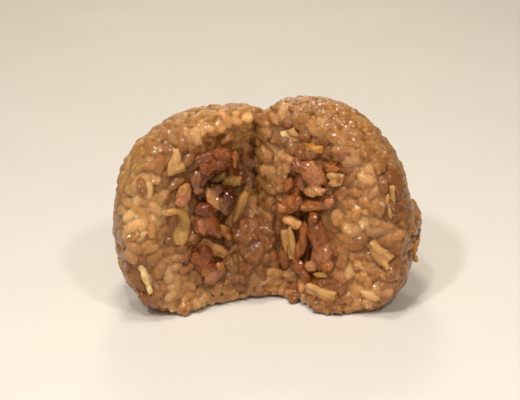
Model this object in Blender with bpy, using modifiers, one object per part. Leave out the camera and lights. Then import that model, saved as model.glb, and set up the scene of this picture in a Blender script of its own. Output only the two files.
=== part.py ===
"""An onigiri of sticky soy-seasoned rice round pork, bamboo shoot and leek, torn open by hand.

It was torn from the top almost to the back and opened like a book. The two halves hang together
along a spine at the back, stand on their flat feet and show the filling on their torn faces.
+X is to the right, -Y to the front. The origin is under the middle of the whole, on the floor.
"""
import math

import bmesh
import bpy
import numpy as np
from mathutils import Matrix, Vector, noise
from mathutils.bvhtree import BVHTree

MM = 0.001

# The ball before it was torn: a thick round patty, pressed by hand and standing on its rim.
# Each half is measured from the spine, where its torn face meets the other one.
SIDES = ("left", "right")
OPENED = {"left": math.radians(68), "right": math.radians(60)}   # each half's turn from shut
LEAN = {"left": math.radians(0), "right": math.radians(5)}       # of each torn face, backwards
THICKNESS = {"left": 51.5 * MM, "right": 46.0 * MM}     # from the spine to the free side
HEIGHT = {"left": 67.4 * MM, "right": 68.0 * MM}
SHOULDER = {"left": 12.0 * MM, "right": 9.0 * MM}       # from the spine to the highest point
DEPTH = 34.0 * MM               # from a torn face back to the round rim
WAIST = 31.0 * MM               # height at which each half is widest
FOOT_SINK = 3.2 * MM            # how much of the round rim the flat foot takes away
TORN_EDGE = 6.5 * MM            # how far the torn face falls back where it meets the free side
EDGE_SHARE = 0.4                # share of the depth over which that edge is rounded
SPINE_OVERLAP = {"left": 1.5 * MM, "right": 4.0 * MM}    # of each half past the spine

# Superellipse exponents of the form: 2 is round, and more is squarer.
PROFILE_ROUNDNESS = 2.15
FREE_ROUNDNESS = {"left": (2.35, 3.2), "right": (1.75, 3.4)}      # over and under the waist
SPINE_ROUNDNESS = 5.0

# The rice of the spine, as two upright lumps: where, and half their size.
SPINE_LUMPS = (
    (Vector((-2, 8, 29)) * MM, Vector((9, 8, 31)) * MM),
    (Vector((-1, 5, 14)) * MM, Vector((16, 10, 18)) * MM),
)

# Dents left by the hand, and the crumbling of the torn faces.
DENT_SIZE = 20.0 * MM
DENT_SHARE = 0.06
CRUMBLE_SIZE = 9.0 * MM
CRUMBLE_DEPTH = 1.6 * MM

# A stewed cube of pork, and how unevenly a knife cuts the vegetables.
PORK_SQUARENESS = 3.2           # superellipsoid exponent of its section
PORK_DEPTH_SHARE = 0.85         # of its width
PORK_BEND_SHARE = 0.06          # of its length
PORK_TAPER = 0.2
PORK_ROUGHNESS = 1.3 * MM
FIBRE_SIZE = 4.0 * MM
KNIFE_ROUGHNESS_SHARE = 0.12    # of a strip's width

# One cooked grain of glutinous rice. The grains make bumps all over one solid.
GRAIN = Vector((6.4, 3.0, 2.7)) * MM
GRAIN_SPACING = 3.2 * MM
GRAIN_STANDS_OUT = 1.2 * MM     # of the pressed skin's grains over the core
GRAIN_SIZE_SPREAD = 0.12
GRAIN_CLEARANCE = 0.65 * GRAIN.y        # from a grain's middle to a piece of the filling
TORN_FACING = 0.72              # cosine between a torn face and a grain's ground that counts as it
TRIES_FOR_EACH_PLACE = 12
CORE_VOXEL = 1.2 * MM
GRAIN_VOXEL = 0.7 * MM
RICE_TRIANGLES = 7250           # before the filling's pockets are cut

GAP = 0.3 * MM                  # between a piece of the filling and its pocket
TINY = 0.004 * MM
SEED = 7


def clear_scene():
    for old in list(bpy.data.objects):
        bpy.data.objects.remove(old, do_unlink=True)


def new_collection(name):
    collection = bpy.data.collections.new(name)
    bpy.context.scene.collection.children.link(collection)
    return collection


def leave_collections(thing):
    for owner in list(thing.users_collection):
        owner.objects.unlink(thing)


def take_primitive(name):
    """Names the primitive that was just added and puts it in the object's own collection."""
    thing = bpy.context.object
    thing.name = name
    leave_collections(thing)
    onigiri.objects.link(thing)
    return thing


def mend(mesh):
    """Merges double points, makes every face flat and points it outwards."""
    edit = bmesh.new()
    edit.from_mesh(mesh)
    bmesh.ops.remove_doubles(edit, verts=edit.verts, dist=TINY)
    bmesh.ops.triangulate(edit, faces=edit.faces)
    bmesh.ops.recalc_face_normals(edit, faces=edit.faces)
    edit.to_mesh(mesh)
    edit.free()


def apply_modifiers(thing):
    evaluated = thing.evaluated_get(bpy.context.evaluated_depsgraph_get())
    mesh = bpy.data.meshes.new_from_object(evaluated)
    old = thing.data
    thing.modifiers.clear()
    thing.data = mesh
    bpy.data.meshes.remove(old)


def joined(name, things):
    """One object made of the shells of several, which are removed."""
    edit = bmesh.new()
    for thing in things:
        edit.from_mesh(thing.data)
        bpy.data.objects.remove(thing, do_unlink=True)
    whole = bpy.data.objects.new(name, bpy.data.meshes.new(name))
    edit.to_mesh(whole.data)
    edit.free()
    onigiri.objects.link(whole)
    return whole


def fuse(thing, voxel):
    """Makes one closed skin round shells that overlap."""
    remesh = thing.modifiers.new("fuse", "REMESH")
    remesh.mode = "VOXEL"
    remesh.voxel_size = voxel
    apply_modifiers(thing)


def tree_of(thing):
    return BVHTree.FromPolygons([vertex.co for vertex in thing.data.vertices],
                                [face.vertices[:] for face in thing.data.polygons])


def half_frame(side):
    """A half's own directions in the world: outwards across its torn face, and back into it."""
    outward = -1.0 if side == "left" else 1.0
    turn = OPENED[side]
    across = Vector((outward * math.sin(turn), -math.cos(turn), 0.0))
    back = Vector((outward * math.cos(turn), math.sin(turn), 0.0))
    return across, back


def place_in_half(side, across, up, back):
    """World point of a place given in a half's own directions."""
    e_across, e_back = half_frame(side)
    leant = back + (up - WAIST) * math.tan(LEAN[side])
    return e_across * across + e_back * leant + Vector((0.0, 0.0, up))


def swell(across, up, centre, size):
    """1 at the centre, falling off smoothly to nearly 0 at one and a half times the size."""
    away = ((across - centre[0]) / size[0]) ** 2 + ((up - centre[1]) / size[1]) ** 2
    return math.exp(-2.0 * away)


def torn_relief(side, across, up):
    """How far the torn face stands forward of its plane."""
    a, u = across / MM, up / MM
    if side == "left":
        relief = (-6.0 * swell(a, u, (9, 46), (9, 22))          # the hollow beside the spine
                  - 1.5 * swell(a, u, (22, 33), (12, 26))       # the bed of the filling
                  + 4.5 * swell(a, u, (8, 12), (11, 12))        # the clump at the spine's foot
                  + 1.5 * swell(a, u, (34, 30), (10, 26))
                  - 2.0 * swell(a, u, (15, 3), (14, 7)))
    else:
        relief = (4.0 * swell(a, u, (9, 52), (10, 22))          # the lip that hides the spine
                  + 1.5 * swell(a, u, (26, 40), (12, 28))
                  - 2.5 * swell(a, u, (12, 25), (7, 22))        # the bed of the filling
                  + 6.0 * swell(a, u, (21, 3), (10, 9)))        # the toe
    layer = SIDES.index(side) * 5.0 + 3.0
    crumble = noise.noise(Vector((across / CRUMBLE_SIZE, up / CRUMBLE_SIZE, layer)))
    return relief * MM + crumble * CRUMBLE_DEPTH


def half_core(side):
    """The bare lump of one half, without its outer grains: a ball pulled to a superellipsoid."""
    bpy.ops.mesh.primitive_ico_sphere_add(subdivisions=6, radius=1.0)
    core = take_primitive("core_" + side)
    free_reach = THICKNESS[side] - SHOULDER[side] - GRAIN_STANDS_OUT
    spine_reach = SHOULDER[side] + SPINE_OVERLAP[side]
    top_reach = HEIGHT[side] - WAIST - GRAIN_STANDS_OUT
    foot_reach = WAIST + FOOT_SINK
    rim_reach = DEPTH - GRAIN_STANDS_OUT
    for vertex in core.data.vertices:
        out, behind, up = vertex.co
        free = out > 0.0
        roundness = FREE_ROUNDNESS[side][0 if up > 0.0 else 1] if free else SPINE_ROUNDNESS
        out_share = abs(out) / (free_reach if free else spine_reach)
        up_share = abs(up) / (top_reach if up > 0.0 else foot_reach)
        profile = (abs(behind) / rim_reach) ** PROFILE_ROUNDNESS + up_share ** PROFILE_ROUNDNESS
        total = out_share ** roundness + profile ** (roundness / PROFILE_ROUNDNESS)
        skin = vertex.co * total ** (-1.0 / roundness)
        across, up, back = SHOULDER[side] + skin.x, WAIST + skin.z, skin.y
        edge = TORN_EDGE * min(1.0, max(0.0, across / (1.4 * SHOULDER[side]) - 0.4))
        if back < 0.0:
            front = min(1.0, -back / (EDGE_SHARE * rim_reach))
            back = edge * (1.0 - front) - torn_relief(side, across, up) * front
        else:
            dent = DENT_SHARE * noise.noise(Vector((across, back, up)) / DENT_SIZE)
            back = edge + back * (1.0 - edge / rim_reach) * (1.0 + dent)
        vertex.co = place_in_half(side, across, up, back)
    mend(core.data)
    return core


def spine_lump(place, reach):
    bpy.ops.mesh.primitive_uv_sphere_add(segments=32, ring_count=20, radius=1.0)
    lump = take_primitive("spine")
    for vertex in lump.data.vertices:
        vertex.co = place + vertex.co * reach
    return lump


def warp(piece, bend, taper, rough):
    """Bends a piece along its length, narrows its far end and roughens it."""
    reach = max(vertex.co.x for vertex in piece.data.vertices)
    grain = Vector((len(piece.name), ord(piece.name[-1]), ord(piece.name[5])))
    for vertex in piece.data.vertices:
        share = vertex.co.x / reach
        vertex.co.y *= 1.0 - taper * (share + 1.0) / 2.0
        vertex.co.z += bend * (share * share - 0.5)
        vertex.co += rough * noise.noise_vector(vertex.co / FIBRE_SIZE + grain)


def settle(piece, side, at, proud, turn, roll):
    """Lays a piece flat on its torn face, its outer side a given height over the rice there.

    turn is from outwards towards up, in the face, and roll is about the piece's own length.
    A piece beside the core is measured from the middle of the half's depth instead.
    """
    e_across, e_back = half_frame(side)
    in_front = place_in_half(side, at[0] * MM, at[1] * MM, -HEIGHT[side])
    bed = core_tree.ray_cast(in_front, e_back)[0]
    if bed is None:
        bed = place_in_half(side, at[0] * MM, at[1] * MM, DEPTH / 2.0)
    spin = Matrix.Rotation(math.radians(turn), 3, "Z") @ Matrix.Rotation(math.radians(roll), 3, "X")
    for vertex in piece.data.vertices:
        vertex.co = spin @ vertex.co
    depth = max(vertex.co.z for vertex in piece.data.vertices) - proud * MM
    for vertex in piece.data.vertices:
        across, up, out = vertex.co
        vertex.co = bed + e_across * across + Vector((0.0, 0.0, up)) - e_back * (out - depth)
    mend(piece.data)


def pork(name, side, at, size, turn, proud=2.4, roll=0):
    """A stewed cube of pork: a lump with flattened sides. Sizes are in millimetres."""
    bpy.ops.mesh.primitive_uv_sphere_add(segments=8, ring_count=7, radius=0.5)
    piece = take_primitive(name)
    piece.data.materials.append(stewed_pork)
    length, width = Vector(size) * MM
    for vertex in piece.data.vertices:
        lengthways = Vector((vertex.co.z, vertex.co.x, vertex.co.y))
        total = sum(abs(2.0 * value) ** PORK_SQUARENESS for value in lengthways)
        squared = lengthways * total ** (-1.0 / PORK_SQUARENESS)
        vertex.co = squared * Vector((length, width, PORK_DEPTH_SHARE * width))
    warp(piece, bend=PORK_BEND_SHARE * length, taper=PORK_TAPER, rough=PORK_ROUGHNESS)
    settle(piece, side, at, proud, turn, roll)


def strip(name, vegetable, side, at, size, turn, proud=1.2, roll=0, bend=0.0, taper=0.0):
    """A strip of bamboo shoot or leek, cut square with a knife. Sizes are in millimetres."""
    bpy.ops.mesh.primitive_cube_add(size=1.0)
    piece = take_primitive(name)
    piece.data.materials.append(vegetable)
    edit = bmesh.new()
    edit.from_mesh(piece.data)
    lengthways = [edge for edge in edit.edges
                  if abs(edge.verts[0].co.x - edge.verts[1].co.x) > 0.5]
    bmesh.ops.subdivide_edges(edit, edges=lengthways, cuts=4, use_grid_fill=True)
    edit.to_mesh(piece.data)
    edit.free()
    for vertex in piece.data.vertices:
        vertex.co *= Vector(size) * MM
    warp(piece, bend=bend * MM, taper=taper, rough=KNIFE_ROUGHNESS_SHARE * size[1] * MM)
    settle(piece, side, at, proud, turn, roll)


def fill_left_half():
    """What shows on the left torn face, from the top down."""
    strip("bamboo_wedge", bamboo, "left", (33, 54.5), (9, 7.5, 2.8), 90, taper=0.85)
    pork("pork_top_left", "left", (19.5, 52.3), (14.5, 7.5), 15, proud=3.5)
    pork("pork_pale_left", "left", (25.3, 45.9), (7.5, 5.2), 125)
    strip("leek_stub", leek, "left", (13, 42.5), (7, 3.6, 2.4), 13, proud=2)
    pork("pork_knob_left", "left", (32, 43), (7.2, 4.8), 95, proud=1.6)
    pork("pork_middle_left", "left", (18.8, 38.8), (10.5, 7), 46, proud=3)
    strip("bamboo_long_left", bamboo, "left", (12, 32.6), (13.5, 3.2, 2.2), -53, proud=1.8, bend=0.8)
    pork("pork_heart_left", "left", (25, 32.8), (12.5, 8.4), 95, proud=3.5)
    strip("leek_arch", leek, "left", (32.8, 32.4), (13.5, 4.4, 1.8), 100, proud=0.9, bend=1.2)
    strip("bamboo_cube_left", bamboo, "left", (17.8, 26.6), (4.6, 4, 3.6), 20, proud=1.8)
    strip("bamboo_low_left", bamboo, "left", (21.5, 21.4), (11, 3.4, 2.4), 43, proud=1.4)
    pork("pork_dark_left", "left", (27.4, 18.4), (8.8, 6.6), 55)
    pork("pork_finger_left", "left", (23, 12.6), (10, 3.9), -40, proud=1.8)
    strip("leek_skin_left", leek, "left", (14.6, 12.4), (9.5, 5, 1.7), 62, proud=0.8, bend=-1)
    strip("bamboo_rim_left", bamboo, "left", (45, 15.5), (12, 3.4, 2), 72, proud=0.6, roll=-30,
          bend=-0.8)


def fill_right_half():
    """What shows on the right torn face, from the top down."""
    strip("bamboo_high_right", bamboo, "right", (7.4, 58), (6, 5, 3.4), 20, proud=1)
    strip("leek_skin_right", leek, "right", (15, 55), (8, 3.6, 1.9), -8, proud=0.8, bend=-0.8)
    pork("pork_top_right", "right", (15.8, 46.2), (11.5, 9.4), -45, proud=3)
    pork("pork_speck_right", "right", (23.2, 50.6), (6, 3.4), 5, proud=1)
    strip("bamboo_cube_right", bamboo, "right", (24.2, 46), (4.8, 4.4, 3.2), -15, proud=1.4)
    pork("pork_red_right", "right", (7.6, 37), (14.5, 6), 64, proud=2.6)
    pork("pork_amber_right", "right", (17.8, 37.2), (11.5, 5.6), 20, proud=2.2)
    pork("pork_fat_right", "right", (7.6, 27.4), (6.5, 3.6), -25, proud=1.8)
    pork("pork_long_right", "right", (18.6, 22.6), (19, 7.2), -72, proud=3)
    pork("pork_thin_right", "right", (11.4, 18.6), (13.5, 3.8), 88, proud=1.8)
    strip("bamboo_long_right", bamboo, "right", (5.8, 19.5), (11, 4.2, 2.4), -80, proud=1, bend=0.7)
    pork("pork_foot_right", "right", (11, 8.4), (7, 4.6), 80, proud=1.6)
    strip("leek_nub_right", leek, "right", (18.6, 11.6), (5, 2.6, 2), 15, proud=1)
    strip("bamboo_foot_right", bamboo, "right", (20, 7), (10.8, 3.6, 2.6), -10, bend=-0.6)
    strip("bamboo_side_right", bamboo, "right", (39, 23), (9, 4.4, 3.4), -42, proud=1.6, roll=15)
    strip("bamboo_hook_right", bamboo, "right", (41.2, 39.5), (10.5, 2.2, 3), 92, proud=1, roll=30,
          bend=1.4)
    strip("leek_flake_right", leek, "right", (45, 19.5), (7.5, 4, 1), 76, proud=5, roll=76)


def widened(piece):
    """A cutter that is the gap larger all round than a piece of the filling."""
    cutter = piece.copy()
    cutter.data = piece.data.copy()
    edit = bmesh.new()
    edit.from_mesh(cutter.data)
    edit.normal_update()
    moves = [vertex.normal * min(2.0, vertex.calc_shell_factor()) * GAP for vertex in edit.verts]
    for vertex, move in zip(edit.verts, moves):
        vertex.co += move
    edit.to_mesh(cutter.data)
    edit.free()
    return cutter


def floor_slab():
    """A cutter that takes away all that lies below the floor."""
    bpy.ops.mesh.primitive_cube_add(size=4 * THICKNESS["left"], location=(0, 0, -2 * THICKNESS["left"]))
    slab = take_primitive("floor_slab")
    slab.data.transform(slab.matrix_world)
    slab.location = (0, 0, 0)
    leave_collections(slab)
    return slab


def put_in_order(thing):
    """Orders the points and faces by their place, because a Boolean's order changes between runs."""
    old = thing.data
    order = sorted(old.vertices, key=lambda vertex: vertex.co[:])
    ranks = {vertex.index: rank for rank, vertex in enumerate(order)}
    rings = []
    for face in old.polygons:
        ring = [ranks[index] for index in face.vertices]
        start = ring.index(min(ring))
        rings.append(ring[start:] + ring[:start])
    mesh = bpy.data.meshes.new(thing.name)
    mesh.from_pydata([vertex.co[:] for vertex in order], [], sorted(rings))
    for finish in old.materials:
        mesh.materials.append(finish)
    thing.data = mesh
    bpy.data.meshes.remove(old)


def keep_largest_body(mesh):
    """Drops the scraps that a cut leaves loose, and slivers with no area."""
    edit = bmesh.new()
    edit.from_mesh(mesh)
    bmesh.ops.remove_doubles(edit, verts=edit.verts, dist=TINY)
    bmesh.ops.dissolve_degenerate(edit, edges=edit.edges, dist=TINY)
    bmesh.ops.triangulate(edit, faces=edit.faces)
    left, bodies = set(edit.faces), []
    while left:
        body, queue = set(), [left.pop()]
        while queue:
            face = queue.pop()
            if face not in body:
                body.add(face)
                queue += [other for edge in face.edges if edge.is_manifold
                          for other in edge.link_faces]
        left -= body
        bodies.append(body)
    largest = max(bodies, key=lambda body: sum(face.calc_area() for face in body))
    bmesh.ops.delete(edit, geom=[face for face in edit.faces if face not in largest], context="FACES")
    edit.to_mesh(mesh)
    edit.free()


def cut(thing, cutters):
    """Takes cutters, which are used up, out of a solid."""
    box = new_collection("cutters")
    for cutter in cutters:
        box.objects.link(cutter)
    carve = thing.modifiers.new("carve", "BOOLEAN")
    carve.operation = "DIFFERENCE"
    carve.operand_type = "COLLECTION"
    carve.collection = box
    carve.solver = "EXACT"
    carve.use_self = True
    apply_modifiers(thing)
    for cutter in cutters:
        bpy.data.objects.remove(cutter, do_unlink=True)
    bpy.data.collections.remove(box)
    put_in_order(thing)
    keep_largest_body(thing.data)


def trim_neighbours(pieces):
    """Where two pieces of the filling press into each other, the later one is cut back."""
    for number, piece in enumerate(pieces):
        tree = tree_of(piece)
        near = []
        for cutter in map(widened, pieces[:number]):
            if tree.overlap(tree_of(cutter)):
                near.append(cutter)
            else:
                bpy.data.objects.remove(cutter, do_unlink=True)
        if near:
            cut(piece, near)


def spread_places(mesh, spacing, rng):
    """Places spread evenly and at random over a mesh, no two nearer than the spacing."""
    mesh.calc_loop_triangles()
    corners = np.array([[mesh.vertices[i].co[:] for i in face.vertices] for face in mesh.loop_triangles])
    normals = np.cross(corners[:, 1] - corners[:, 0], corners[:, 2] - corners[:, 0])
    areas = np.linalg.norm(normals, axis=1) / 2
    tries = int(TRIES_FOR_EACH_PLACE * areas.sum() / spacing ** 2)
    picked = rng.choice(len(areas), size=tries, p=areas / areas.sum())
    shares = rng.dirichlet((1, 1, 1), size=tries)
    points = np.einsum("ij,ijk->ik", shares, corners[picked])
    cells, kept = {}, []
    for number, point in enumerate(points):
        x, y, z = np.floor(point / spacing).astype(int)
        near = [other for dx in (-1, 0, 1) for dy in (-1, 0, 1) for dz in (-1, 0, 1)
                for other in cells.get((x + dx, y + dy, z + dz), ())]
        if all(np.linalg.norm(points[other] - point) >= spacing for other in near):
            cells.setdefault((x, y, z), []).append(number)
            kept.append(number)
    return [(Vector(points[number]), Vector(normals[picked[number]]).normalized()) for number in kept]


def lies_on_filling(place, trees):
    """Whether a grain laid at a place would lie on a piece of the filling or in it."""
    for tree in trees:
        found, normal, _, distance = tree.find_nearest(place)
        inside = distance < GRAIN.x and (place - found).normalized().dot(normal) < -0.7
        if inside or distance < GRAIN_CLEARANCE:
            return True
    return False


def lay_grains(core, filling):
    """Grains of the true size all over the core, flat on the pressed skin and loose where torn."""
    rng = np.random.default_rng(SEED)
    trees = [tree_of(piece) for piece in filling]
    torn_ways = [-half_frame(side)[1] for side in SIDES]
    ball = bmesh.new()
    bmesh.ops.create_uvsphere(ball, u_segments=6, v_segments=5, radius=0.5)
    shape = [Vector((vertex.co.z, vertex.co.x, vertex.co.y)) for vertex in ball.verts]
    rings = [[vertex.index for vertex in face.verts] for face in ball.faces]
    ball.free()
    points, faces = [], []
    for place, normal in spread_places(core.data, GRAIN_SPACING, rng):
        torn = any(way.dot(normal) > TORN_FACING for way in torn_ways)
        along = normal.orthogonal().normalized()
        along.rotate(Matrix.Rotation(rng.uniform(0, math.tau), 3, normal))
        tilt = rng.normal(0, 0.35 if torn else 0.12)
        along = along * math.cos(tilt) + normal * math.sin(tilt)
        side = normal.cross(along).normalized()
        lift = rng.uniform(-0.3, 0.7 if torn else 0.1) * MM
        size = GRAIN * rng.uniform(1.0 - GRAIN_SIZE_SPREAD, 1.0 + GRAIN_SIZE_SPREAD)
        if lies_on_filling(place, trees):
            continue
        turn = Matrix((along * size.x, side * size.y, along.cross(side) * size.z)).transposed()
        faces += [[len(points) + index for index in ring] for ring in rings]
        points += [place + normal * lift + turn @ point for point in shape]
    grains = bpy.data.objects.new("grains", bpy.data.meshes.new("grains"))
    grains.data.from_pydata(points, [], faces)
    return grains


def material(name, colour, roughness):
    """A glossy food material of one linear colour."""
    made = bpy.data.materials.new(name)
    made.use_nodes = True
    shader = made.node_tree.nodes["Principled BSDF"]
    shader.inputs["Base Color"].default_value = (*colour, 1.0)
    shader.inputs["Roughness"].default_value = roughness
    shader.inputs["Metallic"].default_value = 0.0
    return made


clear_scene()
noise.seed_set(SEED)
onigiri = new_collection("onigiri")
soy_rice = material("soy_seasoned_rice", (0.50, 0.27, 0.11), 0.35)
stewed_pork = material("stewed_pork", (0.27, 0.09, 0.04), 0.35)
bamboo = material("bamboo_shoot", (0.60, 0.42, 0.20), 0.40)
leek = material("stewed_leek", (0.45, 0.36, 0.14), 0.35)

# The bare core of both halves, and the filling laid on its torn faces.
core = joined("core", [half_core(side) for side in SIDES] + [spine_lump(*lump) for lump in SPINE_LUMPS])
fuse(core, CORE_VOXEL)
core_tree = tree_of(core)
fill_left_half()
fill_right_half()
filling = [piece for piece in onigiri.objects if piece is not core]
trim_neighbours(filling)

# The rice: the core with its grains as bumps, its foot cut flat and a pocket for every piece.
rice = joined("rice", [core, lay_grains(core, filling)])
fuse(rice, GRAIN_VOXEL)
fewer = rice.modifiers.new("fewer_faces", "DECIMATE")
fewer.ratio = RICE_TRIANGLES / (2.0 * len(rice.data.polygons))
apply_modifiers(rice)
keep_largest_body(rice.data)
cut(rice, [widened(piece) for piece in filling] + [floor_slab()])
rice.data.materials.clear()
rice.data.materials.append(soy_rice)

# Everything is moved so that the origin is under the middle of the whole.
corners = np.array([vertex.co[:] for piece in onigiri.objects for vertex in piece.data.vertices])
middle_x, middle_y, _ = (corners.min(axis=0) + corners.max(axis=0)) / 2
for piece in onigiri.objects:
    piece.data.transform(Matrix.Translation((-middle_x, -middle_y, 0.0)))
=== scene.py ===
"""A round onigiri of soy-seasoned sticky rice, torn open by hand round its filling.

It was torn from the top almost to the back and opened like a book: two halves on a common spine,
with stewed pork, bamboo shoot and leek on both torn faces. Lengths are metres, +Z is up, -Y is
towards the viewer.
"""
import math

import bmesh
import bpy
import numpy as np
from mathutils import Matrix, Vector, noise
from mathutils.bvhtree import BVHTree
from mathutils.kdtree import KDTree


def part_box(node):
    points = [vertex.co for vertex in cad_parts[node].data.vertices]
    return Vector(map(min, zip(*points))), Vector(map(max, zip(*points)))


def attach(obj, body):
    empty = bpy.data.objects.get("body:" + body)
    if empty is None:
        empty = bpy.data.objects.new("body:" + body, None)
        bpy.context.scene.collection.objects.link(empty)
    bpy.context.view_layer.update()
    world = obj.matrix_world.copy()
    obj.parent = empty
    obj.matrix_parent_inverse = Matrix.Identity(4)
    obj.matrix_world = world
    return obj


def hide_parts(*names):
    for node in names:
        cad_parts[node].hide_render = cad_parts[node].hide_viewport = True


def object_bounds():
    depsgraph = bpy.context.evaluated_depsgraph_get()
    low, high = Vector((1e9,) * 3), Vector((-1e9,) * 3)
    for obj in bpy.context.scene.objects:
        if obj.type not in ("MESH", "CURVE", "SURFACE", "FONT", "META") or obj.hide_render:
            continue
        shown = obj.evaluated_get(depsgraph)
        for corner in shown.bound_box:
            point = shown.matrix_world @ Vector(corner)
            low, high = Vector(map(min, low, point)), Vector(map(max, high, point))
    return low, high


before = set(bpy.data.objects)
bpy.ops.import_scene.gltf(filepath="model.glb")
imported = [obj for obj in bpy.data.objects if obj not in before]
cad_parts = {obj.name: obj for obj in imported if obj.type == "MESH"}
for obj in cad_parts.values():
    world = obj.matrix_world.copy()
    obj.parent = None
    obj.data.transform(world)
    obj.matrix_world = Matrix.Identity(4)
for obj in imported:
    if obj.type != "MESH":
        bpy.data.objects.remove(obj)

bpy.ops.object.select_all(action="DESELECT")
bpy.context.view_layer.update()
SEED = 7
noise.seed_set(SEED)

# ---------------------------------------------------------------------------------------------
# The two halves as they lie. Each torn face turns about the spine, an upright line where the
# halves still hang together. A half's own directions are outwards across its torn face, up, and
# back into the rice.
MM = 0.001
SIDES = ("left", "right")
SPINE_FOOT = Vector((2.15, -2.30, 0.0)) * MM
OPENED = {"left": math.radians(68), "right": math.radians(60)}
LEAN = {"left": 0.0, "right": math.radians(5)}
WAIST = 31.0 * MM


def half_frame(side):
    """The ways outwards across a half's torn face, and back into its rice."""
    outward = -1.0 if side == "left" else 1.0
    across = Vector((outward * math.sin(OPENED[side]), -math.cos(OPENED[side]), 0.0))
    back = Vector((outward * math.cos(OPENED[side]), math.sin(OPENED[side]), 0.0))
    return across, back


def in_half(side, points):
    """World points, one a row, as (across, up, back) of a half."""
    across, back = (np.array(way) for way in half_frame(side))
    away = np.asarray(points) - np.array(SPINE_FOOT)
    up = away[:, 2]
    return np.stack((away @ across, up, away @ back - (up - WAIST) * math.tan(LEAN[side])), axis=1)


# ---------------------------------------------------------------------------------------------
# The view: a long lens a little above the food, tipped down and rolled slightly to the left.
CAMERA_PLACE = Vector((-2.15, -442.1, 218.4)) * MM
CAMERA_PITCH = math.radians(22.7)
CAMERA_ROLL = math.radians(2.6)
CAMERA_LENS = 100.0
SENSOR_WIDTH = 36.0
NEAREST_SEEN = 10.0 * MM

bpy.ops.object.camera_add()
camera = bpy.context.object
camera.name = "camera"
camera.data.lens = CAMERA_LENS
camera.data.sensor_width = SENSOR_WIDTH
camera.data.clip_start = NEAREST_SEEN
camera.matrix_world = (Matrix.Translation(CAMERA_PLACE)
                       @ Matrix.Rotation(math.pi / 2.0 - CAMERA_PITCH, 4, "X")
                       @ Matrix.Rotation(-CAMERA_ROLL, 4, "Z"))
bpy.context.scene.camera = camera
bpy.context.scene.view_settings.view_transform = "Standard"

# ---------------------------------------------------------------------------------------------
# The studio: a pale matt floor, an even sky, a soft window of light above the food, a weaker one
# behind it that draws the top edges, two broad fills, and three small lamps for the wet glints.
# Each lamp has its place, its width, its watts and its colour, and looks at the food's middle.
LAMPS = {
    "window": ((0.00, -0.10, 0.62), 0.11, 1.4, "#fff6ea"),
    "back_window": ((0.00, 0.42, 0.46), 0.12, 0.6, "#fff4e6"),
    "back_fill": ((-0.06, 0.62, 0.30), 0.50, 0.7, "#fff2e0"),
    "front_fill": ((0.06, -0.62, 0.36), 0.50, 0.75, "#fff2e0"),
    "left_glint": ((-0.22, -0.34, 0.52), 0.05, 1.4, "#ffffff"),
    "right_glint": ((0.20, -0.38, 0.48), 0.05, 0.9, "#ffffff"),
    "high_glint": ((-0.07, -0.30, 0.58), 0.05, 0.9, "#ffffff"),
}
SKY_COLOUR = "#f7e8d4"
SKY_STRENGTH = 0.19
FLOOR_SIZE = 3.0
FLOOR_SINK = 0.1 * MM
PAPER_CLOUD = 50.0 * MM
BLENDED = {"data_type": "RGBA"}


def linear(hex_colour):
    """An sRGB hex colour as linear red, green, blue and alpha."""
    values = [int(hex_colour[start:start + 2], 16) / 255.0 for start in (1, 3, 5)]
    return [v / 12.92 if v <= 0.04045 else ((v + 0.055) / 1.055) ** 2.4 for v in values] + [1.0]


def wire(material, node, **sockets):
    """Sets a node's sockets, named or as _ and a number, to constants or other nodes' outputs."""
    for name, value in sockets.items():
        number = name[1:]
        socket = node.inputs[int(number) if number.isdigit() else name.replace("_", " ")]
        if isinstance(value, bpy.types.NodeSocket):
            material.node_tree.links.new(value, socket)
        else:
            socket.default_value = value


def add_node(material, kind, settings=None, **sockets):
    """Adds a node with its own settings, sets its sockets and returns it."""
    made = material.node_tree.nodes.new(kind)
    for name, value in (settings or {}).items():
        setattr(made, name, value)
    wire(material, made, **sockets)
    return made


def new_material(name):
    """A material with a Principled shader; returns it and that shader."""
    material = bpy.data.materials.new(name)
    material.use_nodes = True
    return material, material.node_tree.nodes["Principled BSDF"]


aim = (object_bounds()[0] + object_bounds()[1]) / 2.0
for name, (place, size, watts, colour) in LAMPS.items():
    bpy.ops.object.light_add(type="AREA", location=place)
    lamp = bpy.context.object
    lamp.name = name
    lamp.data.size = size
    lamp.data.energy = watts
    lamp.data.color = linear(colour)[:3]
    lamp.rotation_euler = (aim - lamp.location).to_track_quat("-Z", "Y").to_euler()

sky = bpy.data.worlds.new("sky")
sky.use_nodes = True
wire(sky, sky.node_tree.nodes["Background"], Color=linear(SKY_COLOUR), Strength=SKY_STRENGTH)
bpy.context.scene.world = sky

# Uncoated drawing paper: matt, with faint clouds where its fibres lie closer.
bpy.ops.mesh.primitive_plane_add(size=FLOOR_SIZE, location=(0.0, 0.0, -FLOOR_SINK))
floor = bpy.context.object
floor.name = "floor"
paper, shader = new_material("pale_paper")
clouds = add_node(paper, "ShaderNodeTexNoise", Scale=FLOOR_SIZE / PAPER_CLOUD, Detail=4.0)
tint = add_node(paper, "ShaderNodeMix", BLENDED, _0=clouds.outputs["Fac"],
                _6=linear("#d9d2c8"), _7=linear("#dfd9cf"))
wire(paper, shader, Base_Color=tint.outputs[2], Roughness=0.7)
floor.data.materials.append(paper)

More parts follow.
